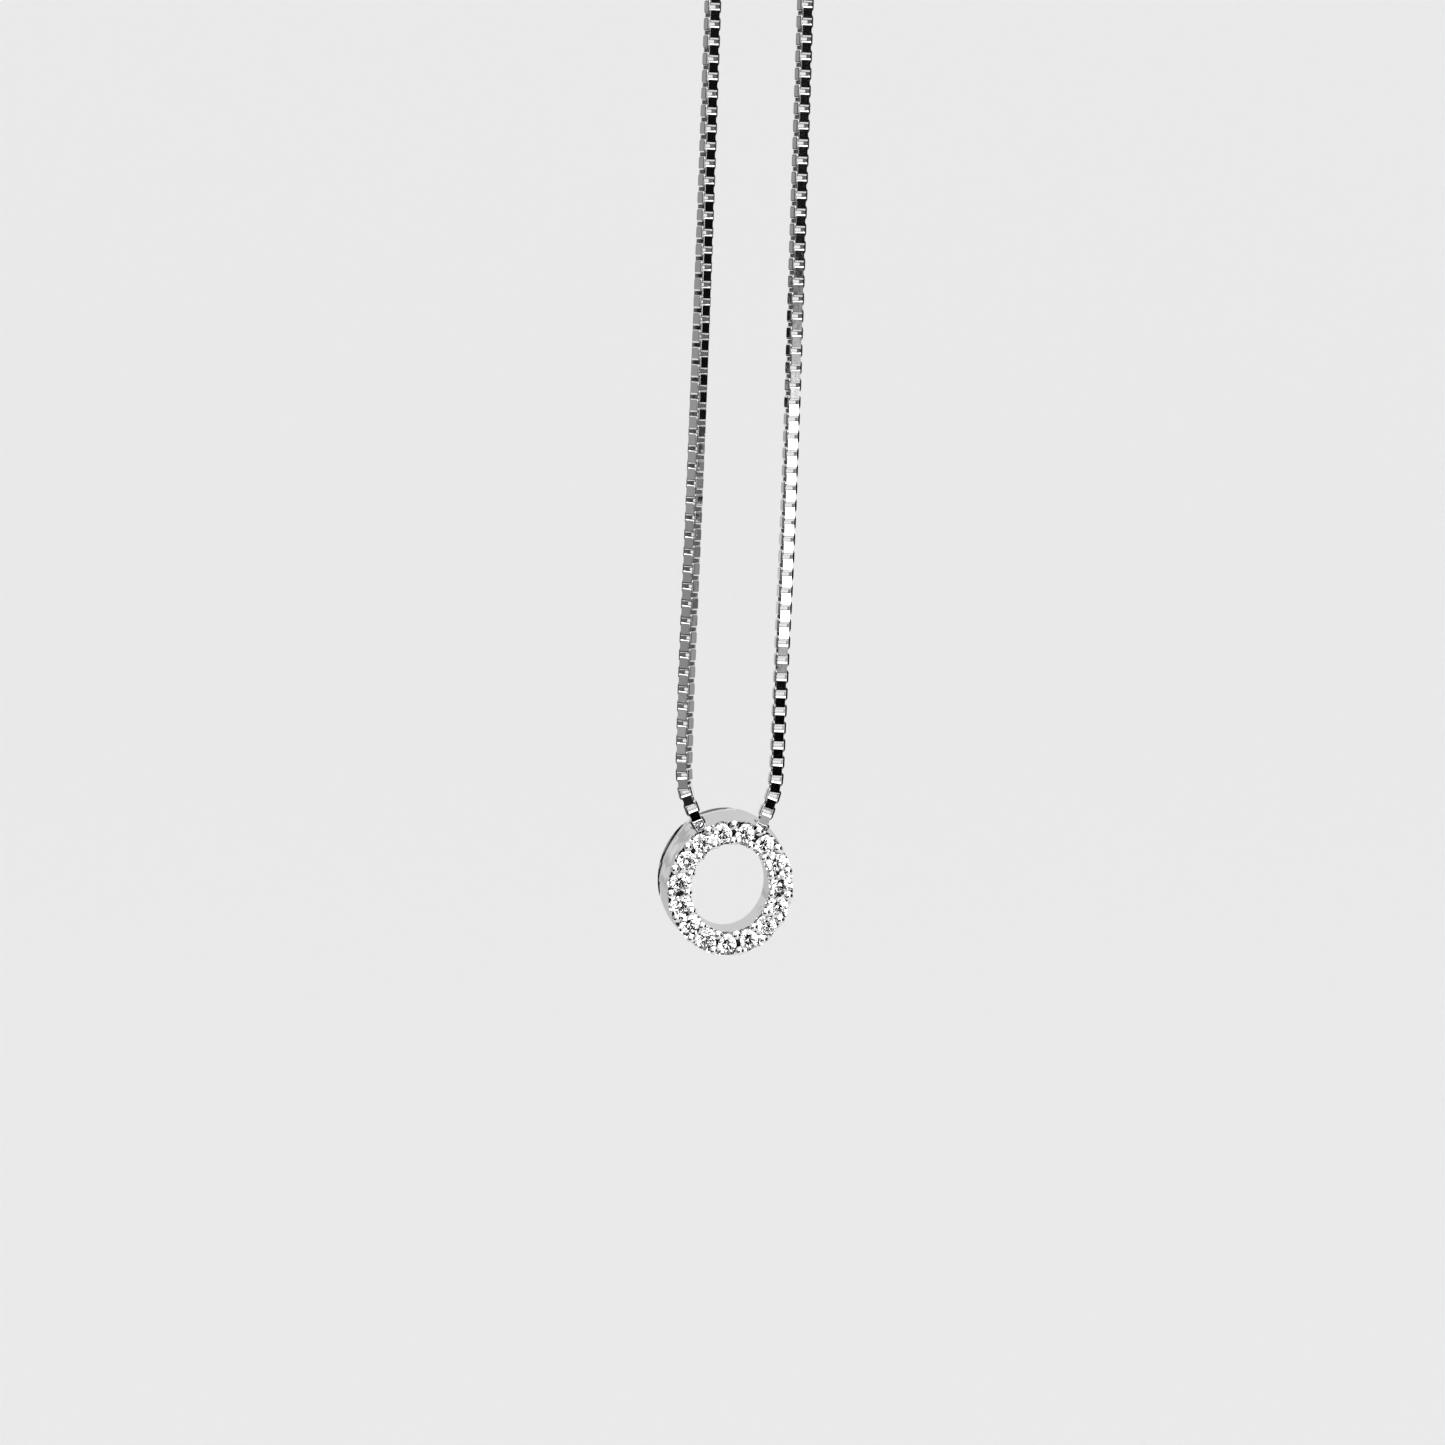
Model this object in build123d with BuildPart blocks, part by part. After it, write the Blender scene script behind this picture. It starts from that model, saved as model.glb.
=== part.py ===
from build123d import *
from math import cos, radians, sin, tan
import os

# Letter necklace: an open oval letter O, set with one row of round stones, that slides on a
# fine box chain. All lengths are millimetres. The origin is the point where the necklace hangs,
# the underside of the chain's top bend. +Z is up and the letter's front faces -Y.

# Chain
chain_width = 0.8                # across the flats of the box links
chain_fold_share = 0.45          # share of the shorter run that each bend takes

# Where the chain crosses the letter, an axis along X that the letter nods about
bore_axis_height = -221.4
letter_nod = 8.2                 # degrees that the letter's heavy face leans forward and down

# Letter outline, seen square to its face
outer_half_width = 3.62
outer_half_height = 3.95
band_width = 1.35
bore_above_centre = 3.15         # from the letter's centre up to the bore axis

# Letter section, measured back from the front rim
outer_wall_depth = 2.95
outer_wall_flare = 0.13          # rear rim outside the front rim
inner_wall_depth = 2.0
wall_thickness = 0.2
plate_thickness = 0.7
plate_back_level = 0.6           # plate's back face in front of the bore axis
rim_round = 0.05                 # rounding on the back rims
tunnel_half_height = 0.5         # chain hole, in the letter's plane
tunnel_half_depth = 0.56         # chain hole, front to back

# Stones
stone_count = 15
stone_diameter = 1.2
girdle_thickness = 0.03
girdle_below_rim = 0.1
stone_gap = 0.02                 # between a stone and its metal
table_share = 0.55               # table, as a share of the stone's diameter
crown_slope = 34
pavilion_slope = 41
culet_hole_diameter = 0.5

# Setting
prong_radius = 0.26
prong_inset = 0.2                # prong's axis inside the band's edge
prong_shoulder_below_rim = 0.05  # where the prong's round tip starts
scallop_radius = 0.38            # round cut in both rims beside each stone
scallop_depth = 0.26

# Rings and clasp, in the right strand above the letter
strand_end_x = 2.65
upper_chain_end_height = -17.6
ring_gap = 0.05                  # between linked rings
chain_end_gap = 0.1              # between a ring and the end of the chain
upper_ring_radius = 0.85
upper_ring_wire = 0.2
eye_radius = 0.6
eye_wire = 0.2
clasp_radius = 2.2
clasp_wire = 0.45
clasp_solder_depth = 0.3         # eye's bite into the clasp's wire
lower_ring_radius = 1.15
lower_ring_wire = 0.25

# Heights of the rings and the clasp below the upper end of the chain
upper_ring_height = (
    upper_chain_end_height - chain_end_gap - upper_ring_radius - upper_ring_wire
)
eye_height = (
    upper_ring_height - upper_ring_radius + upper_ring_wire + ring_gap + eye_wire - eye_radius
)
clasp_height = eye_height - eye_radius - eye_wire + clasp_solder_depth - clasp_radius - clasp_wire
lower_ring_height = (
    clasp_height - clasp_radius + clasp_wire + ring_gap + lower_ring_wire - lower_ring_radius
)
lower_chain_end_height = (
    lower_ring_height - lower_ring_radius - lower_ring_wire - chain_end_gap
)

# Chain route, X and Z of its bends: from the upper ring over the top, down the left strand,
# through the letter and up the right strand to the lower ring
chain_route = [
    (strand_end_x, upper_chain_end_height),
    (2.63, -10.0),
    (2.6, 0.4),
    (-2.6, 0.4),
    (-2.65, -10.2),
    (-2.6, -30.0),
    (-2.68, -68.0),
    (-2.62, -106.0),
    (-2.68, -144.0),
    (-2.64, -182.0),
    (-2.72, -201.0),
    (-2.84, -212.0),
    (-2.8, -218.9),
    (-1.62, -221.7),
    (0.0, -221.13),
    (1.62, -221.7),
    (2.58, -218.9),
    (2.64, -211.9),
    (2.77, -200.5),
    (2.68, -181.0),
    (2.62, -143.0),
    (2.68, -105.0),
    (2.62, -67.0),
    (2.67, -45.0),
    (strand_end_x, lower_chain_end_height),
]
first_bore_bend = 12             # bends whose runs pass through the letter's wall
last_bore_bend = 16

# Lengths of the chain, each with the bend whose next run it starts on. They meet halfway along
# those runs, so both strands are straight pieces apart from the two bends
chain_lengths = [
    ("chain_top", 0),
    ("chain_left", 4),
    ("chain_in_letter", 11),
    ("chain_right", 16),
]

# Facets of a round brilliant: height of a point on the facet above the girdle's middle, then
# count, first direction in degrees, slope from the girdle and radius of that point, where the
# lengths are shares of the stone's radius
girdle_share = girdle_thickness / stone_diameter
crown_share = girdle_share + (1 - table_share) * tan(radians(crown_slope))
half_side = cos(radians(180 / 16))
star_side = table_share * cos(radians(180 / 8))
facet_rows = [
    (crown_share, 1, 0, 0, 0),
    (crown_share, 8, 22.5, 21, star_side),
    (girdle_share, 8, 0, crown_slope, 1),
    (girdle_share, 16, 11.25, 41, half_side),
    (-girdle_share, 16, 11.25, 180 - 42.5, half_side),
    (-girdle_share, 8, 0, 180 - pavilion_slope, 1),
]


def bend_radii(points):
    """Largest arc at each inner point that leaves its two runs a straight middle."""
    radii = []
    for before, here, after in zip(points, points[1:], points[2:]):
        turn = (here - before).get_angle(after - here)
        shorter = min((here - before).length, (after - here).length)
        radii.append(chain_fold_share * shorter / tan(radians(turn / 2)))
    return radii


# Where everything lies
route_points = [Vector(x, 0, z) for x, z in chain_route]
route_radii = bend_radii(route_points)
front_direction = Vector(0, -cos(radians(letter_nod)), -sin(radians(letter_nod)))
up_direction = Vector(0, -sin(radians(letter_nod)), cos(radians(letter_nod)))
letter_centre = Vector(0, 0, bore_axis_height) - up_direction * bore_above_centre
letter_plane = Plane(origin=letter_centre, x_dir=(1, 0, 0), z_dir=front_direction)
front_axis = Axis(letter_centre, front_direction)
rim_level = plate_back_level + plate_thickness
stone_radius = stone_diameter / 2
girdle_level = rim_level - girdle_below_rim
inner_half_width = outer_half_width - band_width
inner_half_height = outer_half_height - band_width


def oval_ring(half_width, half_height, thickness):
    """Outline of an oval wall: its outer size and how thick it is."""
    Ellipse(half_width, half_height)
    Ellipse(half_width - thickness, half_height - thickness, mode=Mode.SUBTRACT)


# Stations along the middle of the band, the first at the bottom of the letter
with BuildLine(letter_plane) as band_middle:
    EllipticalCenterArc(
        (0, 0),
        outer_half_width - band_width / 2,
        outer_half_height - band_width / 2,
        start_angle=-90,
        arc_size=360,
    )


def band_station(share, level):
    """Plane on the band's middle line: X along the band, Z out of the front."""
    edge = band_middle.edges()[0]
    spot = (edge @ share) + front_direction * level
    return Plane(origin=spot, x_dir=edge % share, z_dir=front_direction)


# Stone, with the middle of its girdle at the origin and its table facing +Z
with BuildPart() as brilliant:
    with BuildSketch():
        RegularPolygon(stone_radius, 16)
    extrude(amount=stone_diameter, both=True)
    for height, count, first, slope, radius in facet_rows:
        for number in range(count):
            turn = radians(first + number * 360 / count)
            lean = radians(slope)
            outwards = (sin(lean) * cos(turn), sin(lean) * sin(turn), cos(lean))
            reach = radius * stone_radius
            touched = (reach * cos(turn), reach * sin(turn), height * stone_radius)
            split(bisect_by=Plane(origin=touched, z_dir=outwards), keep=Keep.BOTTOM)

# Room for one stone: the same cone shapes with the gap all round
room_radius = stone_radius + stone_gap
room_table = stone_radius * table_share + stone_gap
room_top = stone_radius * crown_share + stone_gap
girdle_half = girdle_thickness / 2 + stone_gap
culet_radius = culet_hole_diameter / 2
culet_level = -girdle_half - (room_radius - culet_radius) * tan(radians(pavilion_slope))
with BuildPart() as stone_room:
    with BuildSketch(Plane.XZ):
        with BuildLine():
            Polyline(
                (0, -stone_diameter),
                (culet_radius, -stone_diameter),
                (culet_radius, culet_level),
                (room_radius, -girdle_half),
                (room_radius, girdle_half),
                (room_table, room_top),
                (0, room_top),
                close=True,
            )
        make_face()
    revolve(axis=Axis.Z)

stone_stations = [band_station(n / stone_count, girdle_level) for n in range(stone_count)]
prong_stations = [
    band_station((n + 0.5) / stone_count, plate_back_level + plate_thickness / 2)
    for n in range(stone_count)
]

# Chain hole through the letter's outer wall, along the chain's own route
with BuildLine() as tunnel_line:
    FilletPolyline(
        *route_points[first_bore_bend:last_bore_bend + 1],
        radius=route_radii[first_bore_bend:last_bore_bend - 1],
    )

# Letter frame
with BuildPart() as letter_frame:
    # Outer wall, a little wider behind than in front
    for inset, mode in ((0, Mode.ADD), (wall_thickness, Mode.SUBTRACT)):
        with BuildSketch(letter_plane.offset(rim_level)):
            Ellipse(outer_half_width - inset, outer_half_height - inset)
        with BuildSketch(letter_plane.offset(rim_level - outer_wall_depth)):
            Ellipse(
                outer_half_width - inset + outer_wall_flare,
                outer_half_height - inset + outer_wall_flare,
            )
        loft(mode=mode)
    fillet(letter_frame.edges().group_by(front_axis)[0], rim_round)
    tunnel_path = tunnel_line.wires()[0]
    with BuildSketch(Plane(origin=tunnel_path @ 0, x_dir=(0, 1, 0), z_dir=tunnel_path % 0)):
        Ellipse(tunnel_half_depth, tunnel_half_height)
    sweep(path=tunnel_path, mode=Mode.SUBTRACT)
    with BuildSketch(letter_plane.offset(rim_level)):
        oval_ring(inner_half_width + wall_thickness, inner_half_height + wall_thickness,
                  wall_thickness)
    extrude(amount=-inner_wall_depth)
    fillet(letter_frame.edges(Select.LAST).group_by(front_axis)[0], rim_round)
    with BuildSketch(letter_plane.offset(plate_back_level)):
        oval_ring(outer_half_width, outer_half_height, band_width)
    extrude(amount=plate_thickness)
    # Round cuts across both rims beside each stone
    for station in stone_stations:
        cut_level = girdle_below_rim - scallop_depth + scallop_radius
        across = station.offset(cut_level)
        with Locations(Plane(origin=across.origin, x_dir=across.x_dir, z_dir=across.y_dir)):
            Cylinder(scallop_radius, band_width * 2, mode=Mode.SUBTRACT)
    # Prongs, shared by neighbouring stones, at the band's outer and inner edges
    prong_shift = band_width / 2 - prong_inset
    prong_length = plate_thickness / 2 - prong_shoulder_below_rim
    for station in prong_stations:
        with Locations(station):
            with Locations((0, prong_shift, prong_length / 2), (0, -prong_shift, prong_length / 2)):
                Cylinder(prong_radius, prong_length)
            with Locations((0, prong_shift, prong_length), (0, -prong_shift, prong_length)):
                Sphere(prong_radius)
    for station in stone_stations:
        with Locations(station):
            add(stone_room.part, mode=Mode.SUBTRACT)

letter_frame.part.label = "letter_frame"

# Stones, each in its own seat
stones = []
for number, station in enumerate(stone_stations, start=1):
    with BuildPart() as stone:
        with Locations(station):
            add(brilliant.part)
    stone.part.label = f"stone_{number:02d}"
    stones.append(stone)


def run_middle(bend):
    """Halfway along the run that follows a bend, where two lengths of chain meet."""
    return (route_points[bend] + route_points[bend + 1]) / 2


# Round stand-in for each length of chain, along straight runs and tangent arcs
last_bend = len(route_points) - 2
chains = []
for number, (label, first_bend) in enumerate(chain_lengths):
    if number + 1 < len(chain_lengths):
        end_bend = chain_lengths[number + 1][1]
        end_point = run_middle(end_bend)
    else:
        end_bend = last_bend
        end_point = route_points[-1]
    start_point = run_middle(first_bend) if number else route_points[0]
    with BuildPart() as chain:
        with BuildLine() as chain_line:
            FilletPolyline(
                start_point,
                *route_points[first_bend + 1:end_bend + 1],
                end_point,
                radius=route_radii[first_bend:end_bend],
            )
        chain_path = chain_line.wires()[0]
        with BuildSketch(Plane(origin=chain_path @ 0, z_dir=chain_path % 0)):
            Circle(chain_width / 2)
        sweep(path=chain_path)
    chain.part.label = label
    chains.append(chain)
    print(label, "length", round(chain_path.length, 2), "volume", round(chain.part.volume, 2))


def flat_ring(height, radius, wire, facing):
    """Round-wire ring centred in the right strand."""
    centre = Plane(origin=(strand_end_x, 0, height), z_dir=facing)
    with Locations(centre):
        Torus(radius, wire)


with BuildPart() as upper_ring:
    flat_ring(upper_ring_height, upper_ring_radius, upper_ring_wire, (0, 1, 0))
upper_ring.part.label = "upper_ring"

with BuildPart() as clasp:
    flat_ring(eye_height, eye_radius, eye_wire, (1, 0, 0))
    flat_ring(clasp_height, clasp_radius, clasp_wire, (1, 0, 0))
clasp.part.label = "clasp"

with BuildPart() as lower_ring:
    flat_ring(lower_ring_height, lower_ring_radius, lower_ring_wire, (0, 1, 0))
lower_ring.part.label = "lower_ring"

os.makedirs("parts", exist_ok=True)
for piece in [letter_frame, *stones, *chains, upper_ring, clasp, lower_ring]:
    export_step(piece.part, f"parts/{piece.part.label}.step")
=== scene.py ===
# %% [markdown]
# # A letter necklace of polished metal
# The necklace is a small open oval letter, set with one row of round stones, that slides on a
# fine box chain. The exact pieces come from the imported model: the letter's metal, every stone,
# the two rings and the clasp. They stay as they are and get their finish here. The chain comes
# as a plain round tube, so its hundreds of interlocking links are made in this script.

import math

import bmesh
import bpy
from mathutils import Matrix, Quaternion, Vector


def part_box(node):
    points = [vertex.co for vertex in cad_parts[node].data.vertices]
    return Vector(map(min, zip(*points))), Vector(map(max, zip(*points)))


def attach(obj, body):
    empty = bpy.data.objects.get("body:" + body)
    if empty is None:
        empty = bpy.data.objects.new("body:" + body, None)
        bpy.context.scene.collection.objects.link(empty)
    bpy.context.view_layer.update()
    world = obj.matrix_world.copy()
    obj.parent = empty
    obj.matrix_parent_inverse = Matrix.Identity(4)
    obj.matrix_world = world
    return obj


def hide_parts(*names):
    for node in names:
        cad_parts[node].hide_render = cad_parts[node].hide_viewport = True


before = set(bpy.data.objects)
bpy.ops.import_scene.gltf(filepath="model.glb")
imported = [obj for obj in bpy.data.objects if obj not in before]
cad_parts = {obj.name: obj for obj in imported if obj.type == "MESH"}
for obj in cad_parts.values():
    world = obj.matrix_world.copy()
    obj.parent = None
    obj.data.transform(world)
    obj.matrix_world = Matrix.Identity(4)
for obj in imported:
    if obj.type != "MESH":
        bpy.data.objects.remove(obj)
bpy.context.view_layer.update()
MM = 0.001

# %% [markdown]
# ## The camera
# A small piece of jewellery is photographed with a long lens, so that it keeps its shape. The
# camera looks at the letter from a little to its left and slightly from above, and it is
# tilted a little, because the strands lean in the picture. What the picture shows of the
# letter fixes its place: where the middle of the letter's front is seen, and how many pixels
# a millimetre takes there.

# %% Place the camera
PHOTO_PIXELS = 1445
PIXELS_PER_MM = 17.5             # at the letter
LETTER_MIDDLE_PIXEL = (729.9, 888.1)
CAMERA_AZIMUTH = math.radians(-10.5)
CAMERA_ELEVATION = math.radians(4.3)
CAMERA_ROLL = math.radians(2.0)
LENS = 150.0                     # mm, as is the sensor's width
SENSOR = 36.0

stone_boxes = [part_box(name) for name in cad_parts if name.startswith("stone_")]
letter_middle = sum((low + high for low, high in stone_boxes), Vector()) / (2 * len(stone_boxes))
back = Vector((
    math.sin(CAMERA_AZIMUTH) * math.cos(CAMERA_ELEVATION),
    -math.cos(CAMERA_AZIMUTH) * math.cos(CAMERA_ELEVATION),
    math.sin(CAMERA_ELEVATION),
))
turn = (-back).to_track_quat("-Z", "Y") @ Quaternion((0, 0, 1), CAMERA_ROLL)
field = PHOTO_PIXELS / PIXELS_PER_MM * MM
right_of_middle = (LETTER_MIDDLE_PIXEL[0] - PHOTO_PIXELS / 2) / PIXELS_PER_MM * MM
below_middle = (LETTER_MIDDLE_PIXEL[1] - PHOTO_PIXELS / 2) / PIXELS_PER_MM * MM
aim = letter_middle + turn @ Vector((-right_of_middle, below_middle, 0))

camera_data = bpy.data.cameras.new("long_lens")
camera_data.lens = LENS
camera_data.sensor_width = SENSOR
camera_data.clip_start = 0.01
camera_data.clip_end = 20
camera = bpy.data.objects.new("camera", camera_data)
camera.rotation_mode = "QUATERNION"
camera.rotation_quaternion = turn
camera.location = aim + back * (field * LENS / SENSOR)
bpy.context.scene.collection.objects.link(camera)
bpy.context.scene.camera = camera
print("camera", [round(c, 4) for c in camera.location], "field", round(field, 4))

# %% [markdown]
# ## The chain's route
# A box chain under tension hangs nearly straight and bends sharply where it goes into the
# letter. The route is the same as in the solid model, point by point. A few more points stand
# beside the sharp corners, so that a smooth curve through the route keeps as close to each
# corner as the chain does. The curve is a spline, and its line is read back as a mesh, which
# gives points close enough together to walk along.

# %% Draw the route
ROUTE_MM = [                     # x and height, from the clasp over the top and back
    (2.65, -17.6), (2.63, -10.0), (2.615, -4.8), (2.6, 0.39), (-2.6, 0.39), (-2.625, -4.9),
    (-2.65, -10.2), (-2.6, -30.0), (-2.68, -68.0), (-2.62, -106.0), (-2.68, -144.0),
    (-2.64, -182.0), (-2.72, -201.0), (-2.84, -212.0), (-2.817, -215.86), (-2.8, -218.9),
    (-2.32, -220.05), (-1.62, -221.7), (0.0, -221.13), (1.62, -221.7), (2.19, -220.04),
    (2.58, -218.9), (2.605, -215.9), (2.64, -211.9), (2.77, -200.5), (2.68, -181.0),
    (2.62, -143.0), (2.68, -105.0), (2.62, -67.0), (2.67, -45.0), (2.65, -27.0),
]
route_data = bpy.data.curves.new("chain_route", "CURVE")
route_data.dimensions = "3D"
spline = route_data.splines.new("NURBS")
spline.points.add(len(ROUTE_MM) - 1)
for point, (x, z) in zip(spline.points, ROUTE_MM):
    point.co = (x * MM, 0, z * MM, 1)
spline.order_u = 3
spline.use_endpoint_u = True
spline.resolution_u = 24
route_object = bpy.data.objects.new("chain_route", route_data)
bpy.context.scene.collection.objects.link(route_object)
bpy.context.view_layer.update()
route_mesh = bpy.data.meshes.new_from_object(route_object)
route = [v.co.copy() for v in route_mesh.vertices]
bpy.data.objects.remove(route_object)
route_length = sum((b - a).length for a, b in zip(route, route[1:]))
print("route points", len(route), "length mm", round(route_length / MM, 2))

# %% [markdown]
# ## Where each link goes
# Every link of a box chain is the same square loop, and each one is turned a quarter turn
# from the one before. Along the route the links stand at equal steps. Each step is a little
# shorter than a link's inner length, so that neighbours hang in each other with almost no
# play. A walk along the route gives the point and the direction at any distance.

# %% Walk along the route
LINK_WIDTH = 0.81 * MM           # outside, across the chain
LINK_LENGTH = 0.83 * MM          # outside, along the chain
STRIP_WIDTH = 0.54 * MM
STRIP_THICKNESS = 0.13 * MM
NOMINAL_PITCH = 0.49 * MM

distances = [0.0]
for a, b in zip(route, route[1:]):
    distances.append(distances[-1] + (b - a).length)


def along_route(distance):
    """Point of the route at a distance from its start."""
    low, high = 0, len(distances) - 1
    while high - low > 1:
        middle = (low + high) // 2
        if distances[middle] <= distance:
            low = middle
        else:
            high = middle
    share = (distance - distances[low]) / (distances[high] - distances[low])
    return route[low].lerp(route[high], share)


print("halfway mm", [round(c / MM, 2) for c in along_route(route_length / 2)])

# %% [markdown]
# ## How the strands are turned
# A hanging box chain is never quite untwisted, and that is what makes it flash: its flat
# sides are small mirrors, and a few degrees more or less let them show something dark or
# something bright. The left strand hangs cornerwise to the viewer and the right one nearly
# square. The tables give the turn, seen from above, at a few heights, and it passes evenly
# from one to the next. It is zero at the top bend, at the rings and inside the letter.

# %% Turn the strands
LEFT_TURN = [                    # height in mm, turn in degrees; so is the next table
    (-221.0, 90.0), (-219.9, 75.0), (-218.5, 60.0), (-216.8, 50.0), (-208.2, 47.0),
    (-196.8, 37.0), (-185.4, 19.5), (-174.0, 12.0), (-120.0, 3.0), (-5.0, 0.0),
]
RIGHT_TURN = [
    (-221.0, 0.0), (-220.1, -4.0), (-214.0, -4.0), (-210.0, 0.2), (-208.5, 4.0),
    (-197.2, 5.2), (-196.5, 9.2), (-188.0, 11.0), (-187.0, 11.5), (-174.0, 11.5),
    (-120.0, 3.0), (-30.0, 0.0),
]
LETTER_BORE = Vector((0, 0, -221.4 * MM))
letter_distance = min(zip(route, distances), key=lambda pair: (pair[0] - LETTER_BORE).length)[1]


def turned(table, height):
    """Turn at a height, both in the table's units."""
    if height <= table[0][0]:
        return table[0][1]
    for (low, at_low), (high, at_high) in zip(table, table[1:]):
        if height <= high:
            return at_low + (at_high - at_low) * (height - low) / (high - low)
    return table[-1][1]


def spin_of_link(distance, here):
    """Turn about the strand in degrees, which runs on without a jump through the letter."""
    if distance > letter_distance:
        return turned(RIGHT_TURN, here.z / MM) - 90
    return -turned(LEFT_TURN, here.z / MM) if here.x < 0 else 0.0


def link_matrix(distance, pitch, quarter):
    """Place and turn of the link whose middle is at that distance along the route."""
    here = along_route(distance)
    ahead = along_route(min(distance + pitch / 2, route_length))
    behind = along_route(max(distance - pitch / 2, 0.0))
    forward = (ahead - behind).normalized()
    spin = math.radians(spin_of_link(distance, here) + 90 * quarter)
    side = Vector((0, 1, 0)).cross(forward).normalized()
    square = Matrix((side, Vector((0, 1, 0)), forward)).transposed()
    return Matrix.Translation(here) @ square.to_4x4() @ Matrix.Rotation(spin, 4, "Z")


print("letter's middle at mm", round(letter_distance / MM, 2))

# %% [markdown]
# ## One box link
# A box link is a flat strip bent into a square and closed. It starts as a circle of four
# points, whose corners are bevelled round, and the outline is drawn out to the strip's width.
# Giving the strip its thickness comes last, on the inside. There are hundreds of links, so
# each corner has only two steps. The flats and corners on the outside are polished. The cut
# edges of the strip and the inside of the link take a second material, rougher and darker: the
# darker colour is painted shade, for the shade in the recesses between the links.

# %% Make one link
CORNER_RADIUS = 0.17 * MM
CORNER_STEPS = 2


def from_corner(point, width, length):
    """Way to a point of a link from the middle of the nearest corner's rounding."""
    middle_y = max(CORNER_RADIUS - width / 2, min(width / 2 - CORNER_RADIUS, point.y))
    middle_z = max(CORNER_RADIUS - length / 2, min(length / 2 - CORNER_RADIUS, point.z))
    return Vector((0, point.y - middle_y, point.z - middle_z))


def is_outside(point, width, length):
    """Whether a point of a link lies on the outside of the strip."""
    return from_corner(point, width, length).length > CORNER_RADIUS - STRIP_THICKNESS / 2


def box_link(width, length, strip_width):
    """Square loop whose hole looks along X and whose length lies along Z."""
    bm = bmesh.new()
    bmesh.ops.create_circle(bm, segments=4, radius=math.sqrt(0.5), cap_ends=False)
    bmesh.ops.rotate(bm, verts=bm.verts, matrix=Matrix.Rotation(math.pi / 4, 3, "Z"))
    bmesh.ops.rotate(bm, verts=bm.verts, matrix=Matrix.Rotation(math.pi / 2, 3, "Y"))
    bmesh.ops.scale(bm, verts=bm.verts, vec=(1, width, length))
    bmesh.ops.bevel(
        bm, geom=bm.verts[:], offset=CORNER_RADIUS, affect="VERTICES",
        segments=CORNER_STEPS, profile=0.5, material=-1,
    )
    drawn = bmesh.ops.extrude_edge_only(bm, edges=bm.edges[:])
    moved = [g for g in drawn["geom"] if isinstance(g, bmesh.types.BMVert)]
    bmesh.ops.translate(bm, verts=moved, vec=(strip_width, 0, 0))
    bmesh.ops.translate(bm, verts=bm.verts, vec=(-strip_width / 2, 0, 0))
    bmesh.ops.recalc_face_normals(bm, faces=bm.faces)
    bmesh.ops.solidify(bm, geom=bm.faces[:], thickness=STRIP_THICKNESS)
    mesh = bpy.data.meshes.new("box_link")
    bm.to_mesh(mesh)
    bm.free()
    # outside faces get the polish; inside faces and cut edges get the second material, whose darker
    # colour is painted shade
    for face in mesh.polygons:
        points = [mesh.vertices[index].co for index in face.vertices]
        all_outside = all(is_outside(point, width, length) for point in points)
        face.material_index = 0 if all_outside else 1
    return mesh


link_mesh = box_link(LINK_WIDTH, LINK_LENGTH, STRIP_WIDTH)
sizes = [max(v.co[i] for v in link_mesh.vertices) * 2 / MM for i in range(3)]
print("link faces", len(link_mesh.polygons), "size mm", [round(s, 3) for s in sizes])

# %% [markdown]
# ## How many links there are
# The chain's first and last ordinary links both face the same way, and because of the quarter
# turn the number of steps between them is odd. The nearest odd number gives the exact step.

# %% Space the links
FIRST_LINK_MIDDLE = -17.21       # heights of the first and last ordinary links, in mm
LAST_LINK_MIDDLE = -27.39

first_distance = (ROUTE_MM[0][1] - FIRST_LINK_MIDDLE) * -MM
last_distance = route_length - (ROUTE_MM[-1][1] - LAST_LINK_MIDDLE) * MM
steps = 2 * round((last_distance - first_distance) / NOMINAL_PITCH / 2) + 1
pitch = (last_distance - first_distance) / steps
print("steps", steps, "pitch mm", round(pitch / MM, 4))

# %% [markdown]
# ## Crisp flats and corners
# The links would look soft if Blender averaged the normals over their edges. The right normals
# are known, so they are given: square to each flat, turning evenly round each corner, and from
# sideways to outwards across the thin edge of the strip, as if that edge were rounded off.

# %% Work out a link's normals
def link_normals(mesh, width, length):
    """Normal of every face corner of one link, in the order of the mesh."""
    found = []
    for face in mesh.polygons:
        for index in face.vertices:
            point = mesh.vertices[index].co
            outwards = from_corner(point, width, length).normalized()
            outside = is_outside(point, width, length)
            if abs(face.normal.x) > 0.5:
                found.append(outwards if outside else face.normal.copy())
            else:
                found.append(outwards if outside else -outwards)
    return found


link_turns = link_normals(link_mesh, LINK_WIDTH, LINK_LENGTH)
print("normals of one link", len(link_turns))

# %% [markdown]
# ## The whole chain
# All links become one mesh, because they are one string that is worn as one thing. At each
# end the last link is longer: it hangs in the round wire of a ring, and its hole looks the
# way that lets the wire through. The chain takes the place of the plain tube, and it rides
# with the rings and the clasp.

# %% String the links
UPPER_END_LINK = (-17.348, 1.035)    # height of its top edge and its length, in mm
LOWER_END_LINK = (-26.117, 1.135)

chain = bmesh.new()
normals = []


def string_link(mesh, turns, place):
    """Add one link to the chain, with its normals turned along with it."""
    placed = mesh.copy()
    placed.transform(place)
    chain.from_mesh(placed)
    bpy.data.meshes.remove(placed)
    normals.extend(place.to_3x3() @ normal for normal in turns)


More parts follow.
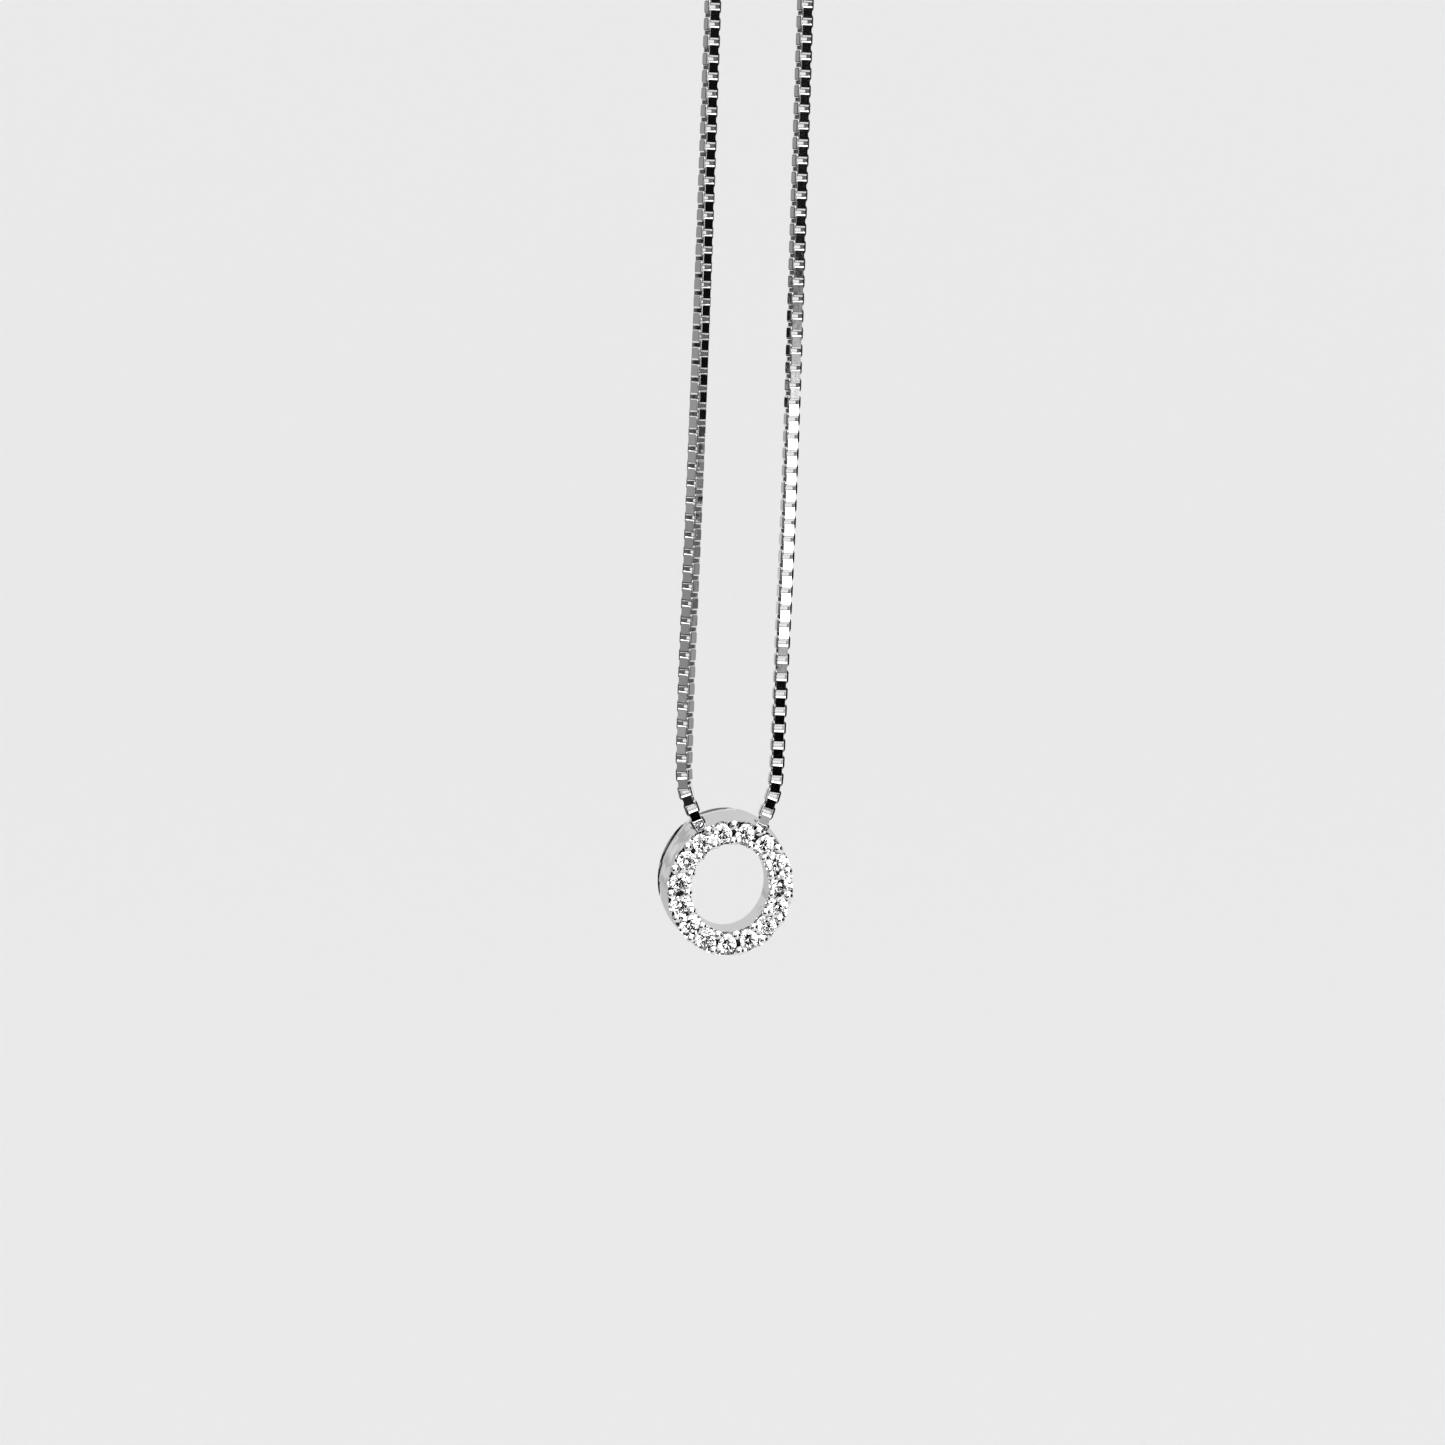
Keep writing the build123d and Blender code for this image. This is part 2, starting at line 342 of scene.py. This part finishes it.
for number in range(steps + 1):
    place = link_matrix(first_distance + number * pitch, pitch, 1 - number % 2)
    string_link(link_mesh, link_turns, place)
for (top, length), x in ((UPPER_END_LINK, ROUTE_MM[0][0]), (LOWER_END_LINK, ROUTE_MM[-1][0])):
    long_link = box_link(LINK_WIDTH, length * MM, STRIP_WIDTH)
    place = Matrix.Translation((x * MM, 0, (top - length / 2) * MM))
    string_link(long_link, link_normals(long_link, LINK_WIDTH, length * MM), place)
chain_mesh = bpy.data.meshes.new("box_chain")
chain.to_mesh(chain_mesh)
chain.free()
chain_mesh.shade_smooth()
chain_mesh.normals_split_custom_set(normals)
box_chain = bpy.data.objects.new("box_chain", chain_mesh)
bpy.context.scene.collection.objects.link(box_chain)
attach(box_chain, "chain")
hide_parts("chain_top", "chain_left", "chain_in_letter", "chain_right")
print("links", steps + 3, "faces", len(chain_mesh.polygons))

# %% [markdown]
# ## Shared surface effects
# Polished jewellery is never a perfect mirror. Handling leaves hair-fine scratches in every
# direction, and polishing leaves a very slight unevenness. Both are made once as a node
# group that any metal here can use: it takes a scale and gives back a roughness and a height.
# The group puts out only values. The shader itself stays in each material.

# %% Build the polish group
SCRATCH_FINENESS = 6.0           # how much finer the scratches are than the unevenness


def polish_group():
    """Node group: fine scratches and a soft unevenness, as roughness and height."""
    group = bpy.data.node_groups.new("polish_marks", "ShaderNodeTree")
    sockets = group.interface
    for name, value in (("Scale", 2500.0), ("Smooth", 0.04), ("Scratched", 0.14)):
        socket = sockets.new_socket(name, in_out="INPUT", socket_type="NodeSocketFloat")
        socket.default_value = value
    sockets.new_socket("Roughness", in_out="OUTPUT", socket_type="NodeSocketFloat")
    sockets.new_socket("Height", in_out="OUTPUT", socket_type="NodeSocketFloat")
    nodes, links = group.nodes, group.links
    inside = nodes.new("NodeGroupInput")
    outside = nodes.new("NodeGroupOutput")
    place = nodes.new("ShaderNodeTexCoord")
    uneven = nodes.new("ShaderNodeTexNoise")
    uneven.inputs["Detail"].default_value = 2.0
    scratch = nodes.new("ShaderNodeTexNoise")
    scratch.inputs["Detail"].default_value = 6.0
    scratch.inputs["Roughness"].default_value = 0.7
    scratch.inputs["Distortion"].default_value = 1.5
    finer = nodes.new("ShaderNodeMath")
    finer.operation = "MULTIPLY"
    finer.inputs[1].default_value = SCRATCH_FINENESS
    spread = nodes.new("ShaderNodeMapRange")
    spread.inputs["From Min"].default_value = 0.35
    spread.inputs["From Max"].default_value = 0.75
    for texture in (uneven, scratch):
        links.new(place.outputs["Object"], texture.inputs["Vector"])
    links.new(inside.outputs["Scale"], uneven.inputs["Scale"])
    links.new(inside.outputs["Scale"], finer.inputs[0])
    links.new(finer.outputs["Value"], scratch.inputs["Scale"])
    links.new(scratch.outputs["Fac"], spread.inputs["Value"])
    links.new(inside.outputs["Smooth"], spread.inputs["To Min"])
    links.new(inside.outputs["Scratched"], spread.inputs["To Max"])
    links.new(spread.outputs["Result"], outside.inputs["Roughness"])
    links.new(uneven.outputs["Fac"], outside.inputs["Height"])
    return group


polish = polish_group()
print("group", polish.name)

# %% [markdown]
# ## A polished metal
# The letter, the chain and the clasp are the same white metal, polished in different ways. So
# one function makes a polished metal, and a table will give each piece its own colour and
# marks. The unevenness is a bump of a hundredth of a millimetre at most: enough to bend a
# reflection, and far too little to see as a shape.

# %% Make a polished metal
POLISH_HEIGHT = 0.01 * MM


def polished_metal(name, colour, marks, scale, unevenness):
    """White metal with a mirror polish; marks are the least and most roughness."""
    material = bpy.data.materials.new(name)
    material.use_nodes = True
    nodes, links = material.node_tree.nodes, material.node_tree.links
    shader = nodes["Principled BSDF"]
    shader.inputs["Metallic"].default_value = 1.0
    shader.inputs["Base Color"].default_value = (*colour, 1.0)
    effect = nodes.new("ShaderNodeGroup")
    effect.node_tree = polish
    effect.inputs["Scale"].default_value = scale
    effect.inputs["Smooth"].default_value = marks[0]
    effect.inputs["Scratched"].default_value = marks[1]
    bump = nodes.new("ShaderNodeBump")
    bump.inputs["Strength"].default_value = unevenness
    bump.inputs["Distance"].default_value = POLISH_HEIGHT
    links.new(effect.outputs["Roughness"], shader.inputs["Roughness"])
    links.new(effect.outputs["Height"], bump.inputs["Height"])
    links.new(bump.outputs["Normal"], shader.inputs["Normal"])
    return material


METALS = [                       # name, colour, least and most roughness, marks per metre, unevenness
    ("letter_mirror_polish", (0.86, 0.86, 0.87), (0.03, 0.12), 1500, 0.5),
    ("chain_tumbled_polish", (0.84, 0.84, 0.85), (0.03, 0.1), 2500, 0.2),
    # the second chain metal is rougher, and its darker colour is painted shade for the links'
    # recesses
    ("chain_dull_painted_shade", (0.42, 0.42, 0.43), (0.15, 0.35), 2500, 0.4),
    ("clasp_handled_polish", (0.85, 0.85, 0.86), (0.05, 0.2), 1200, 0.25),
]
letter_metal, chain_metal, chain_painted_recess_shade, clasp_metal = [polished_metal(*row) for row in METALS]
print("metals:", letter_metal.name, chain_metal.name, chain_painted_recess_shade.name, clasp_metal.name)

# %% [markdown]
# ## Relief by depth
# Two finishes belong to a certain depth of the letter: one to the rear edge of its wall and
# one to its front. A letter that leans forward has no axis along its depth, so the depth is
# measured with a dot product, and a smooth ramp between two depths says where a finish is.

# %% Measure the letter's depth
LETTER_NOD = math.radians(8.2)   # how far the letter's front looks down
WALL_DEPTH = 2.95 * MM           # outer wall, from the front rim to its rear edge
depth_axis = Vector((0, math.cos(LETTER_NOD), math.sin(LETTER_NOD)))
rear = max(v.co.dot(depth_axis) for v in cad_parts["letter_frame"].data.vertices)
front = rear - WALL_DEPTH


def depth_ramp(material, start, end):
    """Smooth 0 to 1 between two depths, measured square to the letter's front."""
    nodes, links = material.node_tree.nodes, material.node_tree.links
    place = nodes.new("ShaderNodeTexCoord")
    depth = nodes.new("ShaderNodeVectorMath")
    depth.operation = "DOT_PRODUCT"
    depth.inputs[1].default_value = depth_axis
    ramp = nodes.new("ShaderNodeMapRange")
    ramp.interpolation_type = "SMOOTHSTEP"
    ramp.inputs["From Min"].default_value = start
    ramp.inputs["From Max"].default_value = end
    links.new(place.outputs["Object"], depth.inputs[0])
    links.new(depth.outputs["Value"], ramp.inputs["Value"])
    return ramp.outputs["Result"]


def add_relief(material, height, rise):
    """One more bump under those that the material has; height is a socket that gives 0 to 1."""
    nodes, links = material.node_tree.nodes, material.node_tree.links
    lowest = nodes["Bump"]
    while lowest.inputs["Normal"].is_linked:
        lowest = lowest.inputs["Normal"].links[0].from_node
    relief = nodes.new("ShaderNodeBump")
    relief.inputs["Distance"].default_value = rise
    links.new(height, relief.inputs["Height"])
    links.new(relief.outputs["Normal"], lowest.inputs["Normal"])


print("letter's front and rear at mm", round(front / MM, 2), round(rear / MM, 2))

# %% [markdown]
# ## The rear edge and the engraving
# The wall's last stretch turns outwards like the rim of a cup. Only its slope matters, because
# the slope makes the edge mirror something dark, as a thin line. The front is engraved:
# between the stones and their prongs a graver has left small cuts that break the light up
# into sparks. A cell pattern has such sharp creases. It fades in just in front of the plate,
# so that the prongs' tips stay smooth, and it ends a little way behind it.

# %% Flare the edge and engrave the front
EDGE_DEPTH = 0.8 * MM            # stretch of the outer wall that flares
EDGE_RISE = 0.058 * MM           # how far its slope lifts it at the rear edge
CUT_SCALE = 2200                 # cuts per metre
CUT_HEIGHT = 0.08 * MM
CUT_START = 0.06 * MM            # how far in front of the plate the cuts begin
CUT_FULL = 0.02 * MM             # how far in front of it they have their full height
CUT_DEPTH = 0.35 * MM            # how far behind it they end


def flare_rear_edge(material):
    """Turns the wall outwards near its rear edge, more and more with depth."""
    past_edge = depth_ramp(material, rear - EDGE_DEPTH, rear + EDGE_DEPTH)
    add_relief(material, past_edge, EDGE_RISE * 2)


def engrave_front(material):
    """Small graver cuts between the stones, which break the plate up into sparks."""
    nodes, links = material.node_tree.nodes, material.node_tree.links
    place = nodes.new("ShaderNodeTexCoord")
    cuts = nodes.new("ShaderNodeTexVoronoi")
    cuts.inputs["Scale"].default_value = CUT_SCALE
    fade_in = depth_ramp(material, front - CUT_START, front - CUT_FULL)
    fade_out = depth_ramp(material, front + CUT_DEPTH, front)
    both = nodes.new("ShaderNodeMath")
    both.operation = "MULTIPLY"
    cut = nodes.new("ShaderNodeMath")
    cut.operation = "MULTIPLY"
    links.new(place.outputs["Object"], cuts.inputs["Vector"])
    links.new(fade_in, both.inputs[0])
    links.new(fade_out, both.inputs[1])
    links.new(both.outputs["Value"], cut.inputs[0])
    links.new(cuts.outputs["Distance"], cut.inputs[1])
    add_relief(material, cut.outputs["Value"], CUT_HEIGHT)


flare_rear_edge(letter_metal)
engrave_front(letter_metal)
print("letter's bumps:", sum(n.type == "BUMP" for n in letter_metal.node_tree.nodes))

# %% [markdown]
# ## Each metal on its piece
# The solid pieces already have a material slot each, so the slot only gets a new material.
# The chain has none yet. Its first slot is the polish and its second the rougher metal whose
# darker colour is painted recess shade, in the order that the faces of a link were told.

# %% Give out the metals
box_chain.data.materials.append(chain_metal)
box_chain.data.materials.append(chain_painted_recess_shade)
for node, metal in (
    ("letter_frame", letter_metal), ("upper_ring", clasp_metal),
    ("clasp", clasp_metal), ("lower_ring", clasp_metal),
):
    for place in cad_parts[node].material_slots:
        place.material = metal
print("chain's materials:", len(box_chain.data.materials))

# %% [markdown]
# ## The stones
# The stones are clear and cut with many facets. What makes them sparkle is a high refractive
# index: light that goes in through the top is thrown back and forth between the flat facets
# and comes out as small bright and dark patches. The facets are real faces in the packed
# model, so the shader only has to be a very clear, very dense glass.

# %% Make the stone
STONE_INDEX = 2.2
STONE_TILT = 0.06 * MM           # stones never lie quite level in their seats
TILT_SCALE = 900                 # tilts per metre, about one for each stone
HAZE_SCALE = 1800
MOST_HAZE = 0.03


def clear_stone():
    """Colourless cut stone with a trace of haze that differs over its surface."""
    material = bpy.data.materials.new("clear_cut_stone")
    material.use_nodes = True
    nodes, links = material.node_tree.nodes, material.node_tree.links
    shader = nodes["Principled BSDF"]
    shader.inputs["Base Color"].default_value = (0.985, 0.99, 1.0, 1.0)
    shader.inputs["Transmission Weight"].default_value = 1.0
    shader.inputs["IOR"].default_value = STONE_INDEX
    haze = nodes.new("ShaderNodeTexNoise")
    haze.inputs["Scale"].default_value = HAZE_SCALE
    place = nodes.new("ShaderNodeTexCoord")
    spread = nodes.new("ShaderNodeMapRange")
    spread.inputs["From Min"].default_value = 0.4
    spread.inputs["From Max"].default_value = 0.8
    spread.inputs["To Min"].default_value = 0.0
    spread.inputs["To Max"].default_value = MOST_HAZE
    lie = nodes.new("ShaderNodeTexNoise")
    lie.inputs["Scale"].default_value = TILT_SCALE
    lie.inputs["Detail"].default_value = 0.0
    tilt = nodes.new("ShaderNodeBump")
    tilt.inputs["Distance"].default_value = STONE_TILT
    links.new(place.outputs["Object"], haze.inputs["Vector"])
    links.new(place.outputs["Object"], lie.inputs["Vector"])
    links.new(haze.outputs["Fac"], spread.inputs["Value"])
    links.new(spread.outputs["Result"], shader.inputs["Roughness"])
    links.new(lie.outputs["Fac"], tilt.inputs["Height"])
    links.new(tilt.outputs["Normal"], shader.inputs["Normal"])
    return material


stone = clear_stone()
stone_nodes = [o for name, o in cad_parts.items() if name.startswith("stone_")]
for setting in stone_nodes:
    for place in setting.material_slots:
        place.material = stone
print("stones:", len(stone_nodes))

# %% [markdown]
# ## The pale stage
# The background is one pale matt sheet, as in a photographer's cove: a floor that curves up
# into a wall with no line between them. It starts as one point, which is drawn out to the
# floor's edge, spun through a quarter turn and drawn up the wall, and then drawn out sideways.

# %% Make the cove
FLOOR_HEIGHT = -0.9
COVE_HALF_WIDTH = 1.9
COVE_FRONT = -1.6
COVE_BEND_START = 0.9
COVE_BEND_RADIUS = 0.6
COVE_TOP = 1.2
COVE_COLOUR = (0.9, 0.9, 0.9)


def only_verts(geometry):
    """The points among what an operator gives back."""
    return [g for g in geometry if isinstance(g, bmesh.types.BMVert)]


def cove_mesh():
    """Floor, quarter bend and wall as one sheet."""
    bm = bmesh.new()
    point = bm.verts.new((-COVE_HALF_WIDTH, COVE_FRONT, FLOOR_HEIGHT))
    (point,) = only_verts(bmesh.ops.extrude_vert_indiv(bm, verts=[point])["verts"])
    point.co.y = COVE_BEND_START
    spun = bmesh.ops.spin(
        bm, geom=[point], cent=(0, COVE_BEND_START, FLOOR_HEIGHT + COVE_BEND_RADIUS),
        axis=(1, 0, 0), angle=math.pi / 2, steps=32, use_duplicate=False,
    )
    (point,) = only_verts(spun["geom_last"])
    (point,) = only_verts(bmesh.ops.extrude_vert_indiv(bm, verts=[point])["verts"])
    point.co.z = COVE_TOP
    drawn = bmesh.ops.extrude_edge_only(bm, edges=bm.edges[:])
    bmesh.ops.translate(bm, verts=only_verts(drawn["geom"]), vec=(2 * COVE_HALF_WIDTH, 0, 0))
    bmesh.ops.recalc_face_normals(bm, faces=bm.faces)
    mesh = bpy.data.meshes.new("cove")
    bm.to_mesh(mesh)
    bm.free()
    mesh.shade_smooth()
    return mesh


cove = bpy.data.objects.new("cove", cove_mesh())
bpy.context.scene.collection.objects.link(cove)
cove_paint = bpy.data.materials.new("pale_matt_sheet")
cove_paint.use_nodes = True
cove_shader = cove_paint.node_tree.nodes["Principled BSDF"]
cove_shader.inputs["Base Color"].default_value = (*COVE_COLOUR, 1)
cove_shader.inputs["Roughness"].default_value = 1.0
cove_shader.inputs["Specular IOR Level"].default_value = 0.0
cove.data.materials.append(cove_paint)
print("cove faces", len(cove.data.polygons))

# %% [markdown]
# ## Light
# The light is soft and comes from all round, as in a white room. A world of one colour gives
# it, without a single lamp. The plain view transform keeps the whites white.

# %% Light the room
ROOM_LIGHT = 0.95
world = bpy.data.worlds.new("white_room")
world.use_nodes = True
room = world.node_tree.nodes["Background"]
room.inputs["Color"].default_value = (1, 1, 1, 1)
room.inputs["Strength"].default_value = ROOM_LIGHT
bpy.context.scene.world = world
bpy.context.scene.view_settings.view_transform = "Standard"
print("room light", ROOM_LIGHT)

# %% [markdown]
# ## Panels for the reflections
# Polished metal shows only what stands round it, and in an all white room it would vanish. So
# panels stand in a ring round the letter, out of the camera's sight: dark ones behind and
# beside the camera, a bright strip between them that fades in narrow steps at one end, and
# grey ones further round. The flats of the chain and the facets of the stones then flash black
# or white as they turn. Pale and grey panels side by side behind the letter give its outer
# wall soft streaks, and the dark ones next to them draw the thin line at its rear edge. Each
# panel is an upright line that is spun round the letter through its own angle. Only mirrors
# and stones see the panels, which leave the soft light on the sheet as it is.

# %% Stand the panels
PANELS = [                       # name, azimuths and elevations in degrees, light
    ("dark_camera", -24.0, 7.0, -13.0, 8.0, 0.0),
    ("grey_camera_edge", 7.0, 10.5, -13.0, 8.0, 0.4),
    ("grey_front", -60.0, -24.0, -13.0, 8.0, 0.25),
    ("bright_front", -60.0, 10.5, 8.0, 50.0, 3.0),
    ("dark_under_camera", -28.0, 24.0, -32.0, -13.0, 0.02),
    ("bright_strip", 10.5, 29.0, -13.0, 50.0, 3.0),
    ("bright_strip_end", 29.0, 30.2, -13.0, 50.0, 0.85),
    ("grey_strip_end", 30.2, 31.4, -24.0, 50.0, 0.5),
    ("dim_strip_end", 31.4, 32.4, -24.0, 50.0, 0.25),
    ("dark_right", 32.4, 87.0, -24.0, 30.0, 0.005),
    ("dim_right", 87.0, 96.0, -24.0, 40.0, 0.06),
    ("edge_right", 96.0, 100.0, -24.0, 40.0, 0.16),
    ("grey_right", 100.0, 103.5, -24.0, 40.0, 0.28),
    ("stripe_right", 103.5, 105.0, -24.0, 40.0, 0.1),
    ("pale_right", 105.0, 130.0, -24.0, 40.0, 0.34),
    ("grey_left_front", -72.0, -60.0, -16.0, 40.0, 0.38),
    ("grey_left", -84.0, -72.0, -16.0, 40.0, 0.28),
    ("grey_left_middle", -96.0, -84.0, -16.0, 40.0, 0.34),
    ("grey_left_back", -148.0, -96.0, -16.0, 40.0, 0.33),
    ("grey_left_end", -151.5, -148.0, -16.0, 1.0, 0.33),
    ("dark_low_left", -100.0, -28.0, -50.0, -16.0, 0.005),
    ("bright_above", -180.0, 180.0, 50.0, 80.0, 3.0),
    ("dark_high_behind", -152.5, -148.0, 5.0, 30.0, 0.0),
    ("dark_middle_behind", -155.0, -148.0, 1.0, 5.0, 0.0),
    ("dark_behind", -156.5, -151.5, -8.0, 1.0, 0.0),
    ("dark_low_behind", -163.0, -151.0, -22.0, -8.0, 0.0),
    ("grey_behind", -160.0, -156.5, -8.0, 1.0, 0.42),
    ("pale_low_behind", -163.0, -160.0, -8.0, 1.0, 0.66),
    ("grey_middle_behind", -166.0, -163.0, -8.0, 1.0, 0.46),
    ("grey_low_behind", 158.0, 194.0, -14.0, 1.0, 0.55),
    ("grey_streak_behind", 204.5, 207.5, 1.0, 32.0, 0.42),
    ("pale_streak_behind", 201.5, 204.5, 1.0, 32.0, 0.75),
    ("grey_stripe_behind", 198.5, 201.5, 1.0, 32.0, 0.46),
    ("pale_behind", 150.0, 198.5, 1.0, 32.0, 0.66),
    ("dark_top_behind", 140.0, 207.5, 37.0, 50.0, 0.2),
]
PANEL_RADIUS = 0.8
PANEL_STEP = 6.0                 # degrees that one flat facet of a panel takes


def ring_panel(name, first, last, low, high, light):
    """Curved panel round the letter; an azimuth of 0 is in front, towards the camera."""
    bm = bmesh.new()
    start = math.radians(first)
    ends = []
    for elevation in (low, high):
        out = math.cos(math.radians(elevation)) * PANEL_RADIUS
        up = math.sin(math.radians(elevation)) * PANEL_RADIUS
        ends.append(bm.verts.new((out * math.sin(start), -out * math.cos(start), up)))
    line = bm.edges.new(ends)
    bmesh.ops.spin(
        bm, geom=[line, *ends], cent=(0, 0, 0), axis=(0, 0, 1),
        angle=math.radians(last - first), steps=max(1, round((last - first) / PANEL_STEP)),
        use_merge=last - first == 360, use_duplicate=False,
    )
    bmesh.ops.translate(bm, verts=bm.verts, vec=letter_middle)
    mesh = bpy.data.meshes.new(name)
    bm.to_mesh(mesh)
    bm.free()
    panel = bpy.data.objects.new(name, mesh)
    bpy.context.scene.collection.objects.link(panel)
    paint = bpy.data.materials.new(name)
    paint.use_nodes = True
    shader = paint.node_tree.nodes["Principled BSDF"]
    shader.inputs["Base Color"].default_value = (0, 0, 0, 1)
    shader.inputs["Specular IOR Level"].default_value = 0.0
    shader.inputs["Emission Color"].default_value = (1, 1, 1, 1)
    shader.inputs["Emission Strength"].default_value = light
    mesh.materials.append(paint)
    panel.visible_camera = False
    panel.visible_diffuse = False
    panel.visible_shadow = False


for row in PANELS:
    ring_panel(*row)
print("panels:", len(PANELS))
